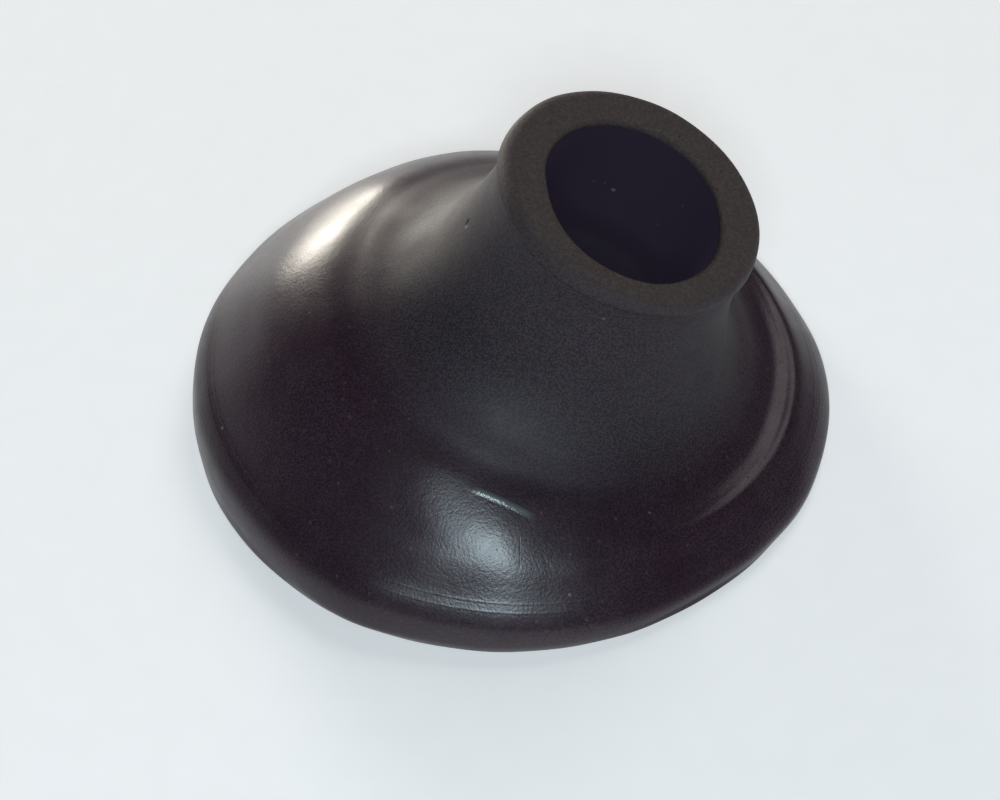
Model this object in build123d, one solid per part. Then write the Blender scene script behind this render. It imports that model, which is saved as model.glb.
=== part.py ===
from build123d import *
import math
import os

# Squat hand bulb for blowing dust. The origin is the centre of the rim on the bench, +Z is up, and
# the neck leans towards +X. All lengths are millimetres and all angles are degrees.

# Rubber bulb
RIM_RADIUS = 32.0
RIM_WIDTH = 2.4                 # the rim's stiff outer band, up to the mould line
FOOT_HEIGHT = 2.4               # the rim's thick foot, which holds the base disc
DOME_WALL = 1.9
NECK_LEAN = 19.3
NECK_SHIFT = 1.35               # where the neck's axis would cross the bench
NECK_RADIUS = 12.8
BORE_RADIUS = 8.6
BORE_BOTTOM = 18.8              # height on the neck's axis where the throat becomes a straight bore
MOUTH_HEIGHT = 30.6             # height of the mouth's centre
OUTER_ROUNDING = 1.3
INNER_ROUNDING = 0.8
SPLIT_HEIGHT = 16.0             # height on the neck's axis where the dome ends

# Base disc: its edge sits in a groove in the foot, and its raised hub carries the valve
LIP_RADIUS = 27.2
DISC_RADIUS = 28.4
DISC_BOTTOM = 0.8
DISC_TOP = 2.2
HUB_RADIUS = 10.0
HUB_WALL = 1.4
HUB_BOTTOM = 2.2
HUB_TOP = 3.8

# Inlet valve, on the vertical centre line
FLANGE_RADIUS = 6.5
FLANGE_BOTTOM = 0.6
FLANGE_TOP = 1.8
STEM_RADIUS = 4.0
STEM_TOP = 7.4
INLET_RADIUS = 1.6
CHAMBER_RADIUS = 3.1
SEAT_HEIGHT = 4.8
GAUZE_RADIUS = 4.8
GAUZE_BOTTOM = 0.9
GAUZE_TOP = 1.05
GAUZE_RING_WIDTH = 0.8
NUT_FLATS = 10.0
NUT_TOP = 6.0
NUT_CHAMFER = 0.4
POPPET_RADIUS = 2.7
POPPET_TOP = 5.4
SPIGOT_RADIUS = 0.9
SPIGOT_TOP = 5.8
CAGE_RADIUS = 4.5
CAGE_TOP = 7.9
CAGE_SKIRT_BOTTOM = 6.5
VENT_RADIUS = 0.6
VENT_CIRCLE = 2.1
VENT_COUNT = 6
SPRING_RADIUS = 1.4
SPRING_WIRE_RADIUS = 0.12
SPRING_TURNS = 4

# The bulb's outside from bench to mouth: radius, height and share of the neck's lean. The rim
# stands level and is thicker on the side away from the lean. Above its mould line the dome takes
# up the lean, so that its shoulder stands high on that side and runs out flat under the neck on
# the other. The neck rises from it in a wide trumpet foot and has a slight lip at its mouth.
OUTSIDE = [
    (RIM_RADIUS - 0.2, 0.0, 0.0),
    (RIM_RADIUS, 1.2, 0.05),
    (RIM_RADIUS - 0.2, 3.3, 0.15),
    (RIM_RADIUS - 1.0, 4.6, 0.18),
    (RIM_RADIUS - 2.2, 5.9, 0.2),
    (27.5, 8.4, 0.32),
    (25.3, 10.2, 0.55),
    (22.7, 11.7, 0.77),
    (19.9, 12.9, 0.88),
    (17.3, 14.5, 0.95),
    (15.2, 16.9, 1.0),
    (13.8, 19.8, 1.0),
    (13.0, 23.2, 1.0),
    (NECK_RADIUS - 0.2, 26.7, 1.0),
    (NECK_RADIUS, MOUTH_HEIGHT, 1.0),
]
DOME_STATIONS = slice(4, 10)    # those over the dome's wall, and one more for its last slope

UPWARDS = (Align.CENTER, Align.CENTER, Align.MIN)


def leaning_plane(height, lean_share=1.0):
    """Level and central at share 0; on the neck's axis and square to it at share 1."""
    lean = math.radians(NECK_LEAN)
    centre = lean_share * (NECK_SHIFT + height * math.tan(lean))
    tip = lean_share * lean
    return Plane(origin=(centre, 0, height), z_dir=(math.sin(tip), 0, math.cos(tip)))


def smooth_skin(stations):
    """Solid whose skin passes through a list of leaning circles."""
    return loft([leaning_plane(height, share) * Circle(radius) for radius, height, share in stations])


def tube(outer, inner, bottom, top):
    """Upright round tube between two heights; a disc when the inner radius is 0."""
    height = top - bottom
    solid = Cylinder(outer, height)
    if inner > 0:
        solid -= Cylinder(inner, height)
    return Pos(0, 0, (bottom + top) / 2) * solid


def cavity_stations():
    """The dome's outside moved in square to its wall, then the throat that narrows to the bore."""
    dome = OUTSIDE[DOME_STATIONS]
    stations = [(LIP_RADIUS + 0.1, DISC_TOP, 0.0)]
    for (radius, height, share), (next_radius, next_height, _) in zip(dome, dome[1:]):
        slope = math.atan2(next_height - height, radius - next_radius)
        inner_radius = radius - DOME_WALL * math.sin(slope)
        inner_height = height - DOME_WALL * math.cos(slope)
        stations.append((inner_radius, inner_height, share))
    throat = [
        (BORE_RADIUS + 6.6, 12.1, 0.95),
        (BORE_RADIUS + 3.5, 13.8, 1.0),
        (BORE_RADIUS + 1.0, 16.0, 1.0),
        (BORE_RADIUS, BORE_BOTTOM, 1.0),
    ]
    return stations + throat


def bulb_zones():
    """The one-piece moulding, cut into its rim, its dome and its neck."""
    skin = smooth_skin(OUTSIDE)
    mouth = skin.edges().sort_by(Axis.Z)[-1]
    skin = fillet(mouth, OUTER_ROUNDING)
    bore = leaning_plane(BORE_BOTTOM) * Cylinder(BORE_RADIUS, MOUTH_HEIGHT, align=UPWARDS)
    bulb = skin - smooth_skin(cavity_stations()) - bore
    bulb -= tube(LIP_RADIUS, 0, 0, DISC_TOP)
    bulb -= tube(DISC_RADIUS, 0, DISC_BOTTOM, DISC_TOP)
    bore_edge = bulb.edges().filter_by(GeomType.CIRCLE).sort_by(Axis.Z)[-1]
    bulb = fillet(bore_edge, INNER_ROUNDING)

    size = 4 * RIM_RADIUS
    neck_space = leaning_plane(SPLIT_HEIGHT) * Box(size, size, size, align=UPWARDS)
    dome_space = tube(RIM_RADIUS - RIM_WIDTH, 0, FOOT_HEIGHT, size)
    return {
        "bulb_rim": bulb - dome_space,
        "bulb_dome": (bulb & dome_space) - neck_space,
        "bulb_neck": bulb & neck_space,
    }


def base_disc():
    """Flat disc with a raised hub, hollow below, and a hole for the valve's stem."""
    disc = tube(DISC_RADIUS, HUB_RADIUS - HUB_WALL, DISC_BOTTOM, DISC_TOP)
    disc += tube(HUB_RADIUS, HUB_RADIUS - HUB_WALL, DISC_TOP, HUB_TOP)
    return disc + tube(HUB_RADIUS, STEM_RADIUS, HUB_BOTTOM, HUB_TOP)


def valve_body():
    """Turned body: flange, stem, inlet hole, poppet chamber and a recess for the gauze."""
    body = tube(FLANGE_RADIUS, 0, FLANGE_BOTTOM, FLANGE_TOP)
    body += tube(STEM_RADIUS, 0, FLANGE_TOP, STEM_TOP)
    body -= tube(INLET_RADIUS, 0, FLANGE_BOTTOM, SEAT_HEIGHT)
    body -= tube(CHAMBER_RADIUS, 0, SEAT_HEIGHT, STEM_TOP)
    return body - tube(GAUZE_RADIUS, 0, FLANGE_BOTTOM, GAUZE_TOP)


def valve_nut():
    """Hexagon nut with its upper corners turned off."""
    height = NUT_TOP - HUB_TOP
    corner = NUT_FLATS / 2 / math.cos(math.pi / 6)
    blank = Cylinder(corner, height, align=UPWARDS)
    blank = chamfer(blank.edges().sort_by(Axis.Z)[-1], NUT_CHAMFER)
    nut = extrude(RegularPolygon(corner, 6), height) & blank
    nut -= Cylinder(STEM_RADIUS, height, align=UPWARDS)
    return Pos(0, 0, HUB_TOP) * nut


def valve_disc():
    """Poppet that rests on the seat, with a spigot that centres the spring."""
    poppet = tube(POPPET_RADIUS, 0, SEAT_HEIGHT, POPPET_TOP)
    return poppet + tube(SPIGOT_RADIUS, 0, POPPET_TOP, SPIGOT_TOP)


def valve_spring():
    """Fine coil between the poppet and the cage."""
    length = STEM_TOP - POPPET_TOP - 2 * SPRING_WIRE_RADIUS
    helix = Helix(length / SPRING_TURNS, length, SPRING_RADIUS)
    path = Pos(0, 0, POPPET_TOP + SPRING_WIRE_RADIUS) * helix
    section = Plane(origin=path @ 0, z_dir=path % 0) * Circle(SPRING_WIRE_RADIUS)
    return sweep(section, path=path, is_frenet=True)


def valve_cage():
    """Cap pressed over the stem, with a ring of vents above the poppet."""
    cage = tube(CAGE_RADIUS, 0, CAGE_SKIRT_BOTTOM, CAGE_TOP)
    cage -= tube(STEM_RADIUS, 0, CAGE_SKIRT_BOTTOM, STEM_TOP)
    vent = Cylinder(VENT_RADIUS, CAGE_TOP, align=UPWARDS)
    for vent_place in PolarLocations(VENT_CIRCLE, VENT_COUNT):
        cage -= vent_place * vent
    return cage


pieces = bulb_zones()
pieces["base_disc"] = base_disc()
pieces["valve_body"] = valve_body()
pieces["valve_gasket"] = tube(FLANGE_RADIUS, STEM_RADIUS, FLANGE_TOP, HUB_BOTTOM)
pieces["valve_nut"] = valve_nut()
pieces["valve_disc"] = valve_disc()
pieces["valve_spring"] = valve_spring()
pieces["valve_cage"] = valve_cage()
pieces["intake_gauze"] = tube(GAUZE_RADIUS, 0, GAUZE_BOTTOM, GAUZE_TOP)
gauze_ring_bore = GAUZE_RADIUS - GAUZE_RING_WIDTH
pieces["gauze_ring"] = tube(GAUZE_RADIUS, gauze_ring_bore, FLANGE_BOTTOM, GAUZE_BOTTOM)

os.makedirs("parts", exist_ok=True)
for name, piece in pieces.items():
    export_step(piece, f"parts/{name}.step")
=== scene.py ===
import bmesh
import bpy
import math
import numpy as np
from mathutils import Matrix, Vector


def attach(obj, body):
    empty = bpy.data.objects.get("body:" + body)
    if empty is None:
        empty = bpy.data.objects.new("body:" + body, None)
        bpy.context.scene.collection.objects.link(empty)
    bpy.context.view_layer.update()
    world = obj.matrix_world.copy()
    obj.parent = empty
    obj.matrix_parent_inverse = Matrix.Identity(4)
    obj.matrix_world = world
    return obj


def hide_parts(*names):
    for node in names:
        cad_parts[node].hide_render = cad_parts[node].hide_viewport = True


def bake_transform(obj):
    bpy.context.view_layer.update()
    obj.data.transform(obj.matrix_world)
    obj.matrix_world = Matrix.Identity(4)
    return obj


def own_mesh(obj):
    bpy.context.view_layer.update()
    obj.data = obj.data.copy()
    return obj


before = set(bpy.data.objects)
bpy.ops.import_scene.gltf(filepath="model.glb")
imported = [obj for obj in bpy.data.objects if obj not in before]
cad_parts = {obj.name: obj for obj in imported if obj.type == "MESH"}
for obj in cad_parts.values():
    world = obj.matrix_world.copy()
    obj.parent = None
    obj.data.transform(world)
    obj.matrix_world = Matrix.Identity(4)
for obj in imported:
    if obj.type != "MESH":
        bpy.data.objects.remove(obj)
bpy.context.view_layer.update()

MM = 0.001

# ---------------------------------------------------------------------------------------------
# The rubber bulb's shape, in millimetres. One smooth skin stands for the moulding's three zones,
# rim, dome and neck, so its outline repeats the CAD stations: radius, height and share of lean.
# ---------------------------------------------------------------------------------------------
NECK_LEAN = math.radians(19.3)
NECK_SHIFT = 1.35
NECK_RADIUS = 13.0
BORE_RADIUS = 8.6
BORE_BOTTOM = 18.8
MOUTH_HEIGHT = 30.6
OUTER_ROUNDING = 1.4
INNER_ROUNDING = 0.5
GROOVE_RADIUS = 28.4
LIP_RADIUS = 27.2
DISC_BOTTOM = 0.8
DISC_TOP = 2.2
OUTSIDE = [
    (31.8, 0.2, 0.01),
    (32.0, 1.2, 0.05),
    (31.8, 3.3, 0.15),
    (31.0, 4.6, 0.18),
    (29.8, 5.9, 0.2),
    (27.5, 8.4, 0.32),
    (25.3, 10.2, 0.55),
    (22.7, 11.7, 0.77),
    (19.9, 12.9, 0.88),
    (17.3, 14.5, 0.95),
    (15.2, 16.9, 1.0),
    (13.8, 19.8, 1.0),
    (13.0, 23.2, 1.0),
    (12.6, 26.7, 1.0),
    (13.0, 30.6, 1.0),
]
INSIDE = [
    (8.6, 18.8, 1.0),
    (9.6, 16.0, 1.0),
    (12.1, 13.8, 1.0),
    (15.2, 12.1, 0.95),
    (19.1, 11.2, 0.88),
    (21.8, 10.0, 0.77),
    (24.2, 8.7, 0.55),
    (26.1, 7.2, 0.32),
    (28.2, 4.7, 0.2),
    (27.4, 2.3, 0.0),
]
AROUND = 400

# Unevenness of the rim and the mouth, at angles round the centre line from +X
RIM_SWELLS = [
    # angle in degrees, outward by millimetres, half width in degrees
    (12, 0.25, 16),
    (37, -0.35, 16),
    (110, -0.3, 14),
    (180, 0.3, 18),
    (226, -0.35, 16),
    (256, 0.5, 10),
    (317, -0.4, 16),
    (344, 0.2, 9),
]
WORN_SIDE = math.radians(-72)       # the mouth's inner edge is worn away on this side
WORN_BY = 1.7
WORN_DEPTH = 6.0
OVAL = 0.02                         # share by which the neck is longer towards its worn side
OVAL_BOTTOM = 20.0                  # the neck is round up to here, and fully oval this much higher
OVAL_RISE = 10.0


def smooth_line(points, steps):
    """Catmull-Rom line through the points, spaced by their distance apart."""
    p = np.array(points, float)
    p = np.vstack([2 * p[0] - p[1], p, 2 * p[-1] - p[-2]])
    gaps = np.sqrt(np.linalg.norm(np.diff(p[:, :2], axis=0), axis=1))
    knots = np.concatenate([[0], np.cumsum(gaps)])
    line = []
    for i in range(1, len(p) - 2):
        t0, t1, t2, t3 = knots[i - 1:i + 3]
        count = max(2, int(round(steps * np.linalg.norm(p[i + 1, :2] - p[i, :2]))))
        for t in np.linspace(t1, t2, count, endpoint=False):
            a1 = (t1 - t) / (t1 - t0) * p[i - 1] + (t - t0) / (t1 - t0) * p[i]
            a2 = (t2 - t) / (t2 - t1) * p[i] + (t - t1) / (t2 - t1) * p[i + 1]
            a3 = (t3 - t) / (t3 - t2) * p[i + 1] + (t - t2) / (t3 - t2) * p[i + 2]
            b1 = (t2 - t) / (t2 - t0) * a1 + (t - t0) / (t2 - t0) * a2
            b2 = (t3 - t) / (t3 - t1) * a2 + (t - t1) / (t3 - t1) * a3
            line.append((t2 - t) / (t2 - t1) * b1 + (t - t1) / (t2 - t1) * b2)
    line.append(p[-2])
    return np.array(line)


def quarter_round(radius, height, rounding, start, end, count):
    """Quarter round of the mouth, as stations on the neck's axis."""
    stations = []
    for angle in np.linspace(start, end, count):
        along = height + rounding * math.sin(angle) * math.cos(NECK_LEAN)
        stations.append((radius + rounding * math.cos(angle), along, 1.0))
    return stations


def bulb_profile():
    """Closed line of stations, and for each one how far it is outside, on the mouth or inside."""
    outside = smooth_line(OUTSIDE, 3.4)
    top = MOUTH_HEIGHT - OUTER_ROUNDING * math.cos(NECK_LEAN)
    outside = outside[(outside[:, 1] < top - 0.1) | (outside[:, 2] < 0.5)]
    outer_round = quarter_round(NECK_RADIUS - OUTER_ROUNDING, top, OUTER_ROUNDING,
                                0, math.pi / 2, 16)
    low = MOUTH_HEIGHT - INNER_ROUNDING * math.cos(NECK_LEAN)
    inner_round = quarter_round(BORE_RADIUS + INNER_ROUNDING, low, INNER_ROUNDING,
                                math.pi / 2, math.pi, 8)
    face_radii = np.linspace(NECK_RADIUS - OUTER_ROUNDING - 0.2, BORE_RADIUS + INNER_ROUNDING + 0.2, 7)
    face = [(r, MOUTH_HEIGHT, 1.0) for r in face_radii]
    bore = [(BORE_RADIUS, h, 1.0) for h in np.linspace(low - 0.4, BORE_BOTTOM + 0.5, 26)]
    inside = smooth_line(INSIDE, 1.6)
    groove = [(GROOVE_RADIUS, DISC_TOP, 0), (GROOVE_RADIUS, DISC_BOTTOM, 0), (LIP_RADIUS, DISC_BOTTOM, 0)]
    foot = [(LIP_RADIUS, 0.3, 0), (27.5, 0, 0), (29.0, 0, 0), (31.2, 0, 0), (31.6, 0.05, 0)]
    parts = [outside, outer_round, face, inner_round, bore, inside, groove, foot]
    profile = np.vstack([np.array(part, float) for part in parts])
    rounded_by = len(outside) + len(outer_round)
    first_inner = rounded_by + len(face) + len(inner_round)
    mouth = np.zeros(len(profile))
    mouth[len(outside):rounded_by] = np.linspace(0, 1, len(outer_round))
    mouth[rounded_by:first_inner] = 1
    inner = np.zeros(len(profile))
    inner[first_inner:] = 1
    return profile, mouth, inner


def worn_lip(profile, angles):
    """How far the mouth's inner edge is worn outward: most at the edge, and fading down the bore."""
    radius, height = profile[:, 0], profile[:, 1]
    flat = NECK_RADIUS - OUTER_ROUNDING - BORE_RADIUS
    down = np.clip((height - MOUTH_HEIGHT + WORN_DEPTH) / WORN_DEPTH, 0, 1) ** 2
    across = np.clip(1 - (radius - BORE_RADIUS) / flat, 0, 1)
    return (down * across)[:, None] * WORN_BY * np.clip(np.cos(angles - WORN_SIDE), 0, 1) ** 1.5


def lean_out(profile, angles):
    """Points of the leaning circles, in millimetres: one row for each station."""
    lean = profile[:, 2] * NECK_LEAN
    centre = profile[:, 2] * (NECK_SHIFT + profile[:, 1] * math.tan(NECK_LEAN))
    radius = profile[:, 0][:, None] + worn_lip(profile, angles)
    on_neck = np.clip((profile[:, 1] - OVAL_BOTTOM) / OVAL_RISE, 0, 1)[:, None]
    radius = radius * (1 + OVAL * on_neck * np.cos(2 * (angles - WORN_SIDE)))
    x = centre[:, None] + radius * np.cos(angles) * np.cos(lean)[:, None]
    y = radius * np.sin(angles)
    z = profile[:, 1][:, None] - radius * np.cos(angles) * np.sin(lean)[:, None]
    return np.stack([x, y, z], -1)


def relief(points, profile, angles, inner):
    """Height of the skin's marks over the smooth shape, in millimetres along its normal."""
    outer = (1 - inner)[:, None]
    radius, height = profile[:, 0][:, None], profile[:, 1][:, None]
    turn = np.degrees(angles)[None, :]
    height_field = np.zeros(points.shape[:2])
    rim = np.clip((radius - 27.0) / 4.0, 0, 1) * np.clip(height / 1.0, 0, 1)
    for centre, outward, half_width in RIM_SWELLS:
        away = (turn - centre + 180) % 360 - 180
        height_field += rim * outward * np.exp(-(away / half_width) ** 2)
    # Slow unevenness of a hand-finished moulding
    x, y, z = points[..., 0], points[..., 1], points[..., 2]
    waves = np.sin(0.31 * x + 0.17 * y + 1.3) * np.sin(0.23 * y - 0.29 * z + 0.4)
    waves += 0.6 * np.sin(0.61 * x - 0.37 * z + 2.1) * np.sin(0.53 * y + 0.19 * x + 0.9)
    height_field += 0.05 * waves
    return height_field * outer


def grid_mesh(name, points, closed_rows):
    """Mesh of a grid of points whose columns close round; its rows may close too."""
    rows, columns = points.shape[:2]
    index = np.arange(rows * columns).reshape(rows, columns)
    after = np.roll(index, -1, 0)
    if not closed_rows:
        index, after = index[:-1], after[:-1]
    faces = np.stack([index, np.roll(index, -1, 1), np.roll(after, -1, 1), after], -1)
    mesh = bpy.data.meshes.new(name)
    mesh.from_pydata((points.reshape(-1, 3) * MM).tolist(), [], faces.reshape(-1, 4).tolist())
    mesh.polygons.foreach_set("use_smooth", [True] * len(mesh.polygons))
    mesh.update()
    return mesh


def new_object(name, mesh, finish):
    piece = bpy.data.objects.new(name, mesh)
    bpy.context.scene.collection.objects.link(piece)
    mesh.materials.append(finish)
    return piece


def store(mesh, name, kind, field, values):
    attribute = mesh.attributes.new(name, kind, "POINT")
    attribute.data.foreach_set(field, np.asarray(values, np.float32).ravel())


def make_bulb(finish):
    profile, mouth, inner = bulb_profile()
    angles = np.linspace(0, 2 * math.pi, AROUND, endpoint=False)
    points = lean_out(profile, angles)
    along = np.roll(points, -1, 0) - np.roll(points, 1, 0)
    around = np.roll(points, -1, 1) - np.roll(points, 1, 1)
    normal = np.cross(around, along)
    normal /= np.linalg.norm(normal, axis=2, keepdims=True)
    points = points + normal * relief(points, profile, angles, inner)[..., None]
    mesh = grid_mesh("bulb_skin", points, closed_rows=True)
    store(mesh, "rest", "FLOAT_VECTOR", "vector", points * MM)
    on_all = np.ones(AROUND)
    station = np.where(inner > 0, 0, profile[:, 0])
    neck = np.clip((profile[:, 1] - 12.0) / 3.2, 0, 1) * (1 - inner)
    store(mesh, "station", "FLOAT", "value", station[:, None] * on_all)
    store(mesh, "neck", "FLOAT", "value", neck[:, None] * on_all)
    store(mesh, "mouth", "FLOAT", "value", mouth[:, None] * on_all)
    store(mesh, "inner", "FLOAT", "value", inner[:, None] * on_all)
    return new_object("bulb_skin", mesh, finish)


# ---------------------------------------------------------------------------------------------
# Finishes. Every one is procedural. Scales are per metre, so 1000 is about a millimetre.
# ---------------------------------------------------------------------------------------------
class Finish:
    """A material with its Principled shader, and short calls for the nodes that it uses."""

    def __init__(self, name, **settings):
        self.material = bpy.data.materials.new(name)
        self.material.use_nodes = True
        self.tree = self.material.node_tree
        self.shader = self.tree.nodes["Principled BSDF"]
        for socket, value in settings.items():
            self.put(self.shader, socket.replace("_", " "), value)

    def put(self, node, socket, value):
        """Links a socket to another, or sets its number."""
        if isinstance(value, bpy.types.NodeSocket):
            self.tree.links.new(value, node.inputs[socket])
        else:
            node.inputs[socket].default_value = value

    def add(self, kind, inputs, **properties):
        node = self.tree.nodes.new("ShaderNode" + kind)
        for name, value in properties.items():
            setattr(node, name, value)
        for socket, value in inputs.items():
            self.put(node, socket, value)
        return node

    def attribute(self, name, output="Fac"):
        return self.add("Attribute", {}, attribute_name=name).outputs[output]

    def place(self):
        return self.add("TexCoord", {}).outputs["Object"]

    def noise(self, place, scale, detail=2.0, roughness=0.5, stretch=None):
        if stretch:
            place = self.add("Mapping", {"Vector": place, "Scale": stretch}).outputs["Vector"]
        settings = {"Vector": place, "Scale": scale, "Detail": detail, "Roughness": roughness}
        return self.add("TexNoise", settings).outputs["Fac"]

    def spread(self, value, low, high, to_low=0.0, to_high=1.0):
        """Maps low..high of a value to another range, smoothly and clamped."""
        settings = {"Value": value, "From Min": low, "From Max": high, "To Min": to_low, "To Max": to_high}
        return self.add("MapRange", settings, interpolation_type="SMOOTHSTEP").outputs["Result"]

    def blend(self, factor, first, second):
        node = self.add("Mix", {}, data_type="RGBA")
        for socket, value in ((0, factor), (6, first), (7, second)):
            self.put(node, socket, value)
        return node.outputs[2]

    def combine(self, operation, first, second):
        return self.add("Math", {0: first, 1: second}, operation=operation).outputs[0]

    def reach(self, place, centre):
        """Distance from a point, in metres."""
        return self.add("VectorMath", {0: place, 1: centre}, operation="DISTANCE").outputs["Value"]

    def stroke(self, place, line, half_length, half_width):
        """1 along the middle of a short line on the skin, fading to its edge and to its ends."""
        centre, angle = line
        turned = self.add("Mapping", {"Vector": place, "Location": centre, "Rotation": (0, 0, angle)},
                          vector_type="TEXTURE")
        parts = self.add("SeparateXYZ", {"Vector": turned.outputs["Vector"]})
        near = self.spread(self.reach(place, centre), half_length, half_length * 0.55)
        across = self.combine("ABSOLUTE", parts.outputs["Y"], 0.0)
        return self.combine("MULTIPLY", near, self.spread(across, half_width, 0.0))

    def bump(self, height, distance, below=None):
        node = self.add("Bump", {"Height": height, "Distance": distance, "Strength": 1.0})
        if below:
            self.put(node, "Normal", below)
        return node.outputs["Normal"]


def rgb(red, green, blue):
    return (red, green, blue, 1.0)


def specks(finish, place, scale, size, share):
    """1 on small round specks: one cell in a few holds one."""
    cells = finish.add("TexVoronoi", {"Vector": place, "Scale": scale}, feature="F1")
    near = finish.spread(cells.outputs["Distance"], size, size * 0.5)
    parts = finish.add("SeparateColor", {"Color": cells.outputs["Color"]})
    chosen = finish.combine("LESS_THAN", parts.outputs["Red"], share)
    return finish.combine("MULTIPLY", near, chosen)


# Marks on the skin. The crease and scratch lines are each given as a middle point and the line's direction
# seen from above. The crease is a raised ridge with a painted highlight along it, and the pore is a pit
# with painted shade in it.
WIPED_SPOT = (3.0 * MM, -26.0 * MM, 9.0 * MM)
CREASE_AND_HIGHLIGHT = ((4.4 * MM, -22.75 * MM, 11.5 * MM), math.radians(-6))
SCRATCH = ((6.7 * MM, -26.0 * MM, 8.7 * MM), math.radians(-79))
PORE = (-3.4 * MM, -2.8 * MM, 26.6 * MM)
BORE_SPECK = (8.7 * MM, 8.6 * MM, 22.5 * MM)
MOULD_LINES = (30.0, 30.6)          # radii in millimetres, just above the rim


def moulded_rubber():
    """Black rubber: satin on the dome, duller and greyer on the neck, rough on the mouth's cut face.
    Its inside has a faint glow that stands for haze, and its shine is less away from WIPED_SPOT."""
    f = Finish("moulded_rubber", IOR=1.5)
    place = f.attribute("rest", "Vector")
    neck, mouth, inner = f.attribute("neck"), f.attribute("mouth"), f.attribute("inner")
    station = f.attribute("station")

    wiped = f.spread(f.reach(place, WIPED_SPOT), 19 * MM, 7 * MM)
    crease_and_highlight = f.stroke(place, CREASE_AND_HIGHLIGHT, 3.8 * MM, 0.42 * MM)
    scratch = f.stroke(place, SCRATCH, 1.6 * MM, 0.10 * MM)
    pore_and_shade = f.spread(f.reach(place, PORE), 0.7 * MM, 0.35 * MM)

    cloud = f.spread(f.noise(place, 90, 4.0, 0.6), 0.35, 0.65)
    colour = f.blend(cloud, rgb(0.034, 0.0150, 0.0245), rgb(0.048, 0.0255, 0.0375))
    colour = f.blend(neck, colour, rgb(0.044, 0.0355, 0.0420))
    fine = f.spread(f.noise(place, 5200, 1.0), 0.38, 0.62, 0.0, 0.75)
    colour = f.blend(fine, colour, rgb(0.012, 0.0080, 0.012))
    mottle = f.spread(f.noise(place, 2800, 4.0, 0.7), 0.32, 0.68)
    cut_face = f.blend(mottle, rgb(0.056, 0.0430, 0.0395), rgb(0.094, 0.071, 0.064))
    colour = f.blend(mouth, colour, cut_face)
    colour = f.blend(inner, colour, rgb(0.018, 0.013, 0.022))
    rust = specks(f, place, 900, 0.18, 0.22)
    colour = f.blend(rust, colour, rgb(0.080, 0.030, 0.024))
    dust = specks(f, place, 520, 0.10, 0.06)
    colour = f.blend(dust, colour, rgb(0.13, 0.115, 0.10))
    speck = f.spread(f.reach(place, BORE_SPECK), 0.30 * MM, 0.12 * MM)
    colour = f.blend(speck, colour, rgb(0.13, 0.11, 0.08))
    # Painted highlight: pale bluish colour along the crease's ridge
    colour = f.blend(crease_and_highlight, colour, rgb(0.110, 0.120, 0.125))
    # Painted shade: the pore's sunken pit is coloured near black
    f.put(f.shader, "Base Color", f.blend(pore_and_shade, colour, rgb(0.002, 0.002, 0.002)))
    rim = f.spread(station, 25.0, 28.5)
    shine = f.blend(rim, rgb(0.46, 0.42, 0.44), rgb(0.30, 0.28, 0.30))
    f.put(f.shader, "Specular Tint", f.blend(wiped, shine, rgb(1, 1, 1)))
    f.put(f.shader, "Emission Color", rgb(0.0085, 0.0066, 0.0120))
    f.put(f.shader, "Emission Strength", inner)

    patch = f.spread(f.noise(place, 240, 3.0, 0.6), 0.3, 0.7, 0.29, 0.36)
    rough = f.combine("ADD", patch, f.spread(neck, 0, 0.5, 0, 0.28))
    rough = f.combine("ADD", rough, f.spread(mouth, 0, 1, 0, 0.22))
    rough = f.combine("ADD", rough, f.spread(f.combine("ADD", rust, dust), 0, 1, 0, 0.2))
    f.put(f.shader, "Roughness", f.combine("SUBTRACT", rough, f.spread(crease_and_highlight, 0, 0.4, 0, 0.12)))

    skin = f.bump(f.noise(place, 800, 3.0), 0.000014)
    grain = f.bump(f.noise(place, 3600, 2.0, 0.6), 0.000020, skin)
    coarse = f.combine("MULTIPLY", mottle, mouth)
    face = f.bump(coarse, 0.00005, grain)
    raised = f.bump(crease_and_highlight, 0.00004, face)
    cut = f.combine("ADD", f.combine("MULTIPLY", pore_and_shade, 8.0), scratch)
    sunk = f.bump(f.combine("SUBTRACT", 0.0, cut), 0.00002, raised)
    away = [f.combine("ABSOLUTE", f.combine("SUBTRACT", station, r), 0.0) for r in MOULD_LINES]
    first_line, second_line = [f.spread(distance, 0.13, 0.0) for distance in away]
    lines = f.bump(f.combine("ADD", first_line, second_line), 0.000007, sunk)
    f.put(f.shader, "Normal", lines)
    return f.material


def moulded_plastic():
    """Fine matt black plastic, with the faint flow rings of its gate, and the same faint painted glow as
    the bulb's inside, which stands for haze.
    """
    f = Finish("moulded_plastic", Emission_Color=rgb(0.0085, 0.0066, 0.0120), Emission_Strength=1.0)
    place = f.place()
    cloud = f.spread(f.noise(place, 120, 3.0), 0.3, 0.7)
    f.put(f.shader, "Base Color", f.blend(cloud, rgb(0.026, 0.025, 0.027), rgb(0.040, 0.039, 0.041)))
    f.put(f.shader, "Roughness", f.spread(f.noise(place, 900, 2.0), 0.3, 0.7, 0.46, 0.62))
    rings = f.add("TexWave", {"Vector": place, "Scale": 90, "Distortion": 1.5, "Detail": 1.0},
                  wave_type="RINGS", rings_direction="Z").outputs["Fac"]
    flow = f.bump(rings, 0.000008)
    f.put(f.shader, "Normal", f.bump(f.noise(place, 3500, 2.0), 0.00002, flow))
    return f.material


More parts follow.
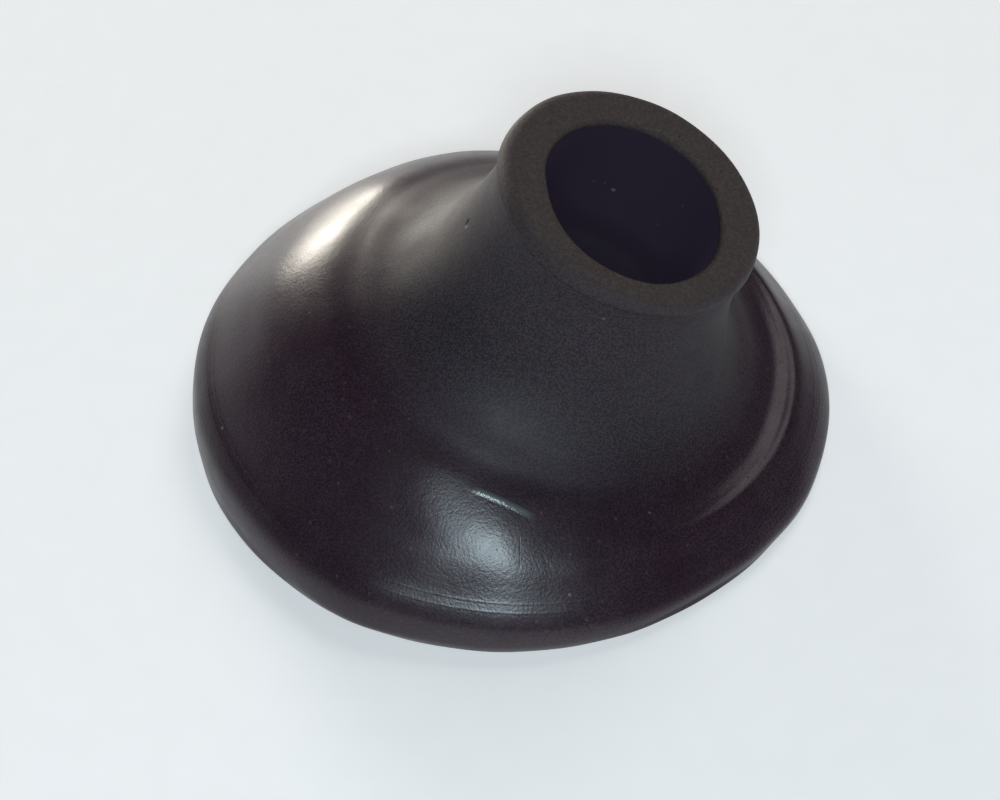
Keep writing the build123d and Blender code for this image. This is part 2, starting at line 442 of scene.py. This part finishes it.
def turned_metal(name, bright, dull, tarnish, roughness):
    """Metal turned on a lathe: fine tool rings round the centre line, and a little tarnish."""
    f = Finish(name, Metallic=1.0)
    place = f.place()
    stain = f.spread(f.noise(place, 500, 5.0, 0.65), 0.42, 0.68)
    wear = f.blend(f.spread(f.noise(place, 2200, 2.0), 0.3, 0.7), rgb(*bright), rgb(*dull))
    f.put(f.shader, "Base Color", f.blend(stain, wear, rgb(*tarnish)))
    f.put(f.shader, "Roughness", f.spread(stain, 0, 1, roughness, roughness + 0.2))
    rings = f.add("TexWave", {"Vector": place, "Scale": 2600, "Distortion": 0.6, "Detail": 2.0},
                  wave_type="RINGS", rings_direction="Z").outputs["Fac"]
    f.put(f.shader, "Normal", f.bump(rings, 0.000004))
    return f.material


def drawn_wire(name, bright, dull, roughness):
    """Drawn metal wire, with fine scratches and dull spots."""
    f = Finish(name, Metallic=1.0)
    place = f.place()
    spots = f.spread(f.noise(place, 3000, 3.0, 0.6), 0.35, 0.65)
    f.put(f.shader, "Base Color", f.blend(spots, rgb(*bright), rgb(*dull)))
    f.put(f.shader, "Roughness", f.spread(spots, 0, 1, roughness, roughness + 0.15))
    scratches = f.noise(place, 2500, 2.0, 0.5, stretch=(1.0, 1.0, 6.0))
    f.put(f.shader, "Normal", f.bump(scratches, 0.000003))
    return f.material


def seal_rubber():
    """Dull grey-black sheet rubber with a chalky bloom."""
    f = Finish("seal_rubber")
    place = f.place()
    bloom = f.spread(f.noise(place, 800, 4.0, 0.7), 0.45, 0.75)
    f.put(f.shader, "Base Color", f.blend(bloom, rgb(0.030, 0.027, 0.027), rgb(0.085, 0.080, 0.075)))
    f.put(f.shader, "Roughness", f.spread(bloom, 0, 1, 0.62, 0.85))
    f.put(f.shader, "Normal", f.bump(f.noise(place, 4000, 2.0), 0.00001))
    return f.material


def natural_nylon():
    """Milky natural nylon, slightly yellowed."""
    f = Finish("natural_nylon", Subsurface_Weight=0.25, Subsurface_Scale=0.001)
    place = f.place()
    age = f.spread(f.noise(place, 600, 3.0), 0.3, 0.7)
    f.put(f.shader, "Base Color", f.blend(age, rgb(0.80, 0.76, 0.64), rgb(0.70, 0.63, 0.48)))
    f.put(f.shader, "Roughness", f.spread(f.noise(place, 2500, 2.0), 0.3, 0.7, 0.34, 0.5))
    f.put(f.shader, "Normal", f.bump(f.noise(place, 3500, 2.0), 0.000008))
    return f.material


def floor_paper():
    """Plain pale floor, with a faint grain."""
    f = Finish("floor_paper", Roughness=0.9, Emission_Color=rgb(1, 1, 1), Emission_Strength=0.30)
    grain = f.spread(f.noise(f.place(), 300, 2.0), 0.3, 0.7)
    f.put(f.shader, "Base Color", f.blend(grain, rgb(0.86, 0.86, 0.86), rgb(0.88, 0.88, 0.88)))
    return f.material


RUBBER = moulded_rubber()
PLASTIC = moulded_plastic()
BRASS = turned_metal("turned_brass", (0.80, 0.60, 0.26), (0.70, 0.50, 0.20), (0.38, 0.24, 0.10), 0.24)
STEEL = drawn_wire("steel_wire", (0.62, 0.62, 0.60), (0.42, 0.42, 0.41), 0.28)
BRONZE = drawn_wire("bronze_wire", (0.74, 0.46, 0.26), (0.50, 0.29, 0.16), 0.26)
SEAL = seal_rubber()
NYLON = natural_nylon()


# ---------------------------------------------------------------------------------------------
# The bulb
# ---------------------------------------------------------------------------------------------
bulb = make_bulb(RUBBER)
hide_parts("bulb_rim", "bulb_dome", "bulb_neck")
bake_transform(bulb)


# ---------------------------------------------------------------------------------------------
# Base disc and inlet valve. Turned pieces are outlines spun round the centre line. The lengths
# are the CAD parts' own, in millimetres.
# ---------------------------------------------------------------------------------------------
def rounded(corners, rounding, steps=4):
    """Closed outline with each of its corners rounded."""
    line = []
    count = len(corners)
    for i in range(count):
        before, corner, after = (np.array(corners[(i + k) % count], float) for k in (-1, 0, 1))
        if corner[0] == 0:
            line.append(corner)
            continue
        to_before, to_after = before - corner, after - corner
        reach = min(rounding, 0.45 * np.linalg.norm(to_before), 0.45 * np.linalg.norm(to_after))
        start = corner + reach * to_before / np.linalg.norm(to_before)
        end = corner + reach * to_after / np.linalg.norm(to_after)
        for t in np.linspace(0, 1, steps + 1):
            line.append((1 - t) ** 2 * start + 2 * t * (1 - t) * corner + t ** 2 * end)
    return line


def spun(name, outline, finish, around=128, shape=None):
    """Solid of revolution from a closed outline of (radius, height)."""
    angles = np.linspace(0, 2 * math.pi, around, endpoint=False)
    outline = np.array(outline, float)
    radius = outline[:, 0][:, None] * np.ones(around)
    height = outline[:, 1][:, None] * np.ones(around)
    if shape:
        radius = shape(radius, height, angles)
    points = np.stack([radius * np.cos(angles), radius * np.sin(angles), height], -1)
    mesh = grid_mesh(name, points, closed_rows=True)
    work = bmesh.new()
    work.from_mesh(mesh)
    bmesh.ops.remove_doubles(work, verts=work.verts, dist=1e-7)
    bmesh.ops.recalc_face_normals(work, faces=work.faces)
    work.to_mesh(mesh)
    work.free()
    mesh.set_sharp_from_angle(angle=math.radians(50))
    return new_object(name, mesh, finish)


def make_base_disc():
    """Disc with a raised hub, hollow below; its edges are slightly rounded."""
    corners = [(28.4, 0.8), (28.4, 2.2), (10.0, 2.2), (10.0, 3.8), (4.0, 3.8), (4.0, 2.2),
               (8.6, 2.2), (8.6, 0.8)]
    piece = spun("closing_disc", rounded(corners, 0.3), PLASTIC, 192)
    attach(piece, "base")
    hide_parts("base_disc")


THREAD_PITCH = 0.5
THREAD_DEPTH = 0.16


def cut_thread(radius, height, angles):
    """Vee thread on the stem, between the gasket and the cage."""
    phase = (height / THREAD_PITCH - angles / (2 * math.pi)) % 1.0
    vee = 1 - np.abs(2 * phase - 1)
    fade = np.clip((height - 2.5) / 0.2, 0, 1) * np.clip((6.3 - height) / 0.2, 0, 1)
    on_stem = np.abs(radius - 4.0) < 1e-6
    return radius - THREAD_DEPTH * vee * fade * on_stem


def make_valve_body():
    flange = rounded([(4.8, 0.6), (6.5, 0.6), (6.5, 1.8), (4.0, 1.8)], 0.18)[:-5]
    stem = [(4.0, z) for z in np.linspace(1.8, 7.2, 109)]
    top = [(3.93, 7.37), (3.85, 7.4), (3.2, 7.4), (3.12, 7.35), (3.1, 7.2)]
    inside = [(3.1, 4.85), (3.05, 4.8), (2.0, 4.8), (1.9, 4.9), (1.75, 4.9), (1.6, 4.75),
              (1.6, 1.2), (1.75, 1.05), (4.75, 1.05), (4.8, 1.0)]
    piece = spun("inlet_body", flange + stem + top + inside, BRASS, 160, cut_thread)
    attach(piece, "base")
    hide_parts("valve_body")


def make_poppet():
    """Flat nylon disc with a spigot inside the spring."""
    corners = [(0, 4.8), (2.7, 4.8), (2.7, 5.4), (0.9, 5.4), (0.9, 5.8), (0, 5.8)]
    piece = spun("poppet", rounded(corners, 0.16), NYLON, 96)
    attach(piece, "poppet")
    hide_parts("valve_disc")


def make_gauze_ring():
    corners = [(4.0, 0.6), (4.8, 0.6), (4.8, 0.9), (4.0, 0.9)]
    piece = spun("snap_ring", rounded(corners, 0.1), STEEL, 128)
    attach(piece, "base")
    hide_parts("gauze_ring")


def wire_grid(path, radius, sides):
    """Rings of points round a wire's path, in millimetres."""
    path = np.array(path, float)
    tangent = np.gradient(path, axis=0)
    tangent /= np.linalg.norm(tangent, axis=1, keepdims=True)
    side = np.cross(tangent, (0, 0, 1.0))
    side /= np.linalg.norm(side, axis=1, keepdims=True)
    over = np.cross(side, tangent)
    angles = np.linspace(0, 2 * math.pi, sides, endpoint=False)
    ring = np.cos(angles)[None, :, None] * side[:, None] + np.sin(angles)[None, :, None] * over[:, None]
    return path[:, None] + radius * ring


def cap_ends(mesh):
    work = bmesh.new()
    work.from_mesh(mesh)
    bmesh.ops.holes_fill(work, edges=[e for e in work.edges if e.is_boundary], sides=0)
    bmesh.ops.recalc_face_normals(work, faces=work.faces)
    work.to_mesh(mesh)
    work.free()


def make_spring():
    """Coil with closed ends."""
    wire, radius, bottom, top, turns = 0.12, 1.4, 5.4, 7.4, 5.0
    path = []
    for t in np.linspace(0, 1, 221):
        angle = 2 * math.pi * turns * t
        rise = np.clip((t * turns - 0.5) / (turns - 1.0), 0, 1)
        path.append((radius * math.cos(angle), radius * math.sin(angle),
                     bottom + wire + rise * (top - bottom - 2 * wire)))
    mesh = grid_mesh("spring_coil", wire_grid(path, wire, 10), closed_rows=False)
    cap_ends(mesh)
    piece = new_object("spring_coil", mesh, BRONZE)
    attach(piece, "base")
    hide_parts("valve_spring")
    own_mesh(piece)


def make_gauze():
    """Plain woven wire cloth: each wire goes over and under the ones that cross it."""
    reach, pitch, wire, wave, middle = 4.7, 0.36, 0.044, 0.030, 0.975
    count = int(reach / pitch)
    grids = []
    for turned in (False, True):
        for i in range(-count, count + 1):
            offset = i * pitch
            half = math.sqrt(reach ** 2 - offset ** 2)
            steps = np.linspace(-half, half, max(8, int(8 * half / pitch)))
            sign = -1 if (i + turned) % 2 else 1
            lift = middle + wave * sign * np.cos(math.pi * steps / pitch)
            path = np.stack([steps, np.full_like(steps, offset), lift], -1)
            if turned:
                path = path[:, [1, 0, 2]]
            grids.append(wire_grid(path, wire, 6))
    meshes = [grid_mesh("wire", grid, closed_rows=False) for grid in grids]
    work = bmesh.new()
    for mesh in meshes:
        work.from_mesh(mesh)
        bpy.data.meshes.remove(mesh)
    mesh = bpy.data.meshes.new("woven_gauze")
    work.to_mesh(mesh)
    work.free()
    cap_ends(mesh)
    mesh.polygons.foreach_set("use_smooth", [True] * len(mesh.polygons))
    piece = new_object("woven_gauze", mesh, STEEL)
    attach(piece, "base")
    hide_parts("intake_gauze")


make_base_disc()
make_valve_body()
make_poppet()
make_gauze_ring()
make_spring()
make_gauze()
for node, finish in (("valve_gasket", SEAL), ("valve_nut", BRASS), ("valve_cage", BRASS)):
    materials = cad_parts[node].data.materials
    materials.clear()
    materials.append(finish)


# ---------------------------------------------------------------------------------------------
# Stage, lights and camera
# ---------------------------------------------------------------------------------------------
def direction(azimuth, elevation):
    """Unit vector towards a place round the object, with azimuth 0 in front, at -Y."""
    a, e = math.radians(azimuth), math.radians(elevation)
    return Vector((math.sin(a) * math.cos(e), -math.cos(a) * math.cos(e), math.sin(e)))


def make_floor():
    reach = 2.0
    corners = [(-reach, -reach, 0), (reach, -reach, 0), (reach, reach, 0), (-reach, reach, 0)]
    mesh = bpy.data.meshes.new("floor")
    mesh.from_pydata(corners, [], [(0, 1, 2, 3)])
    new_object("floor", mesh, floor_paper())


def area_light(name, azimuth, elevation, distance, width, height, power, colour):
    data = bpy.data.lights.new(name, "AREA")
    data.shape = "ELLIPSE"
    data.size = width
    data.size_y = height
    data.energy = power
    data.color = colour
    light = bpy.data.objects.new(name, data)
    bpy.context.scene.collection.objects.link(light)
    place = direction(azimuth, elevation)
    light.location = place * distance
    light.rotation_euler = place.to_track_quat("Z", "Y").to_euler()


def make_lights():
    area_light("window", 11, 42, 0.6, 0.16, 0.15, 1.7, (0.74, 0.92, 1.0))
    area_light("back_left", -140, 6, 0.7, 0.28, 0.20, 4.0, (1.0, 0.96, 0.84))
    area_light("behind", 166, 50, 0.9, 0.5, 0.5, 2.0, (1.0, 0.97, 0.94))
    world = bpy.data.worlds.new("world")
    bpy.context.scene.world = world
    world.use_nodes = True
    background = world.node_tree.nodes["Background"]
    background.inputs["Color"].default_value = rgb(0.9, 0.88, 1.0)
    background.inputs["Strength"].default_value = 0.09


CAMERA_AZIMUTH = math.radians(13.3)
CAMERA_ELEVATION = math.radians(48.1)
CAMERA_ROLL = math.radians(-1.3)
CAMERA_DISTANCE = 0.224
CAMERA_LENS = 78.8
LOOK_AT = Vector((-0.00092, -0.00022, -0.00037))


def make_camera():
    back = direction(math.degrees(CAMERA_AZIMUTH), math.degrees(CAMERA_ELEVATION))
    right = Vector((math.cos(CAMERA_AZIMUTH), math.sin(CAMERA_AZIMUTH), 0))
    up = back.cross(right)
    turned_right = math.cos(CAMERA_ROLL) * right + math.sin(CAMERA_ROLL) * up
    turned_up = -math.sin(CAMERA_ROLL) * right + math.cos(CAMERA_ROLL) * up
    data = bpy.data.cameras.new("camera")
    data.lens = CAMERA_LENS
    data.sensor_width = 36.0
    data.clip_start = 0.01
    camera = bpy.data.objects.new("camera", data)
    bpy.context.scene.collection.objects.link(camera)
    turn = Matrix((turned_right, turned_up, back)).transposed().to_4x4()
    camera.matrix_world = Matrix.Translation(LOOK_AT + back * CAMERA_DISTANCE) @ turn
    bpy.context.scene.camera = camera


make_floor()
make_lights()
make_camera()
bpy.context.scene.view_settings.view_transform = "Standard"
